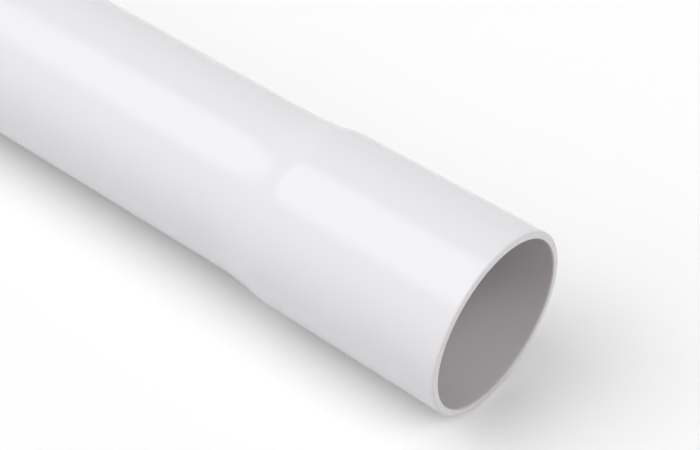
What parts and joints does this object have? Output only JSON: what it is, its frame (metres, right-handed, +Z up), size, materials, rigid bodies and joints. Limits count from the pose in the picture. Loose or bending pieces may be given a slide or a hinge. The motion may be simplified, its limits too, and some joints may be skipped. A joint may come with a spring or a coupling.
{
  "type": "pvc conduit pipe",
  "caption": "Straight rigid plastic conduit pipe for electric cables, with a socket formed on one end and a plain chamfered spigot on the other.",
  "frame": {"origin": "centre of the socket's mouth, on the pipe's axis, in the plane of the socket's end face", "axes": "+X along the pipe's axis, out of the socket's mouth, so the pipe runs from the origin towards -X to its spigot end; +Z up as the pipe lies on its side"},
  "size_m": [2, 0.0548, 0.055],
  "materials": {
    "rigid_pvc": "smooth extruded rigid PVC, satin to semi-gloss, pale cool grey-white"
  },
  "bodies": {
    "root": {"conduit_pipe": "rigid_pvc"}
  },
  "joints": []
}
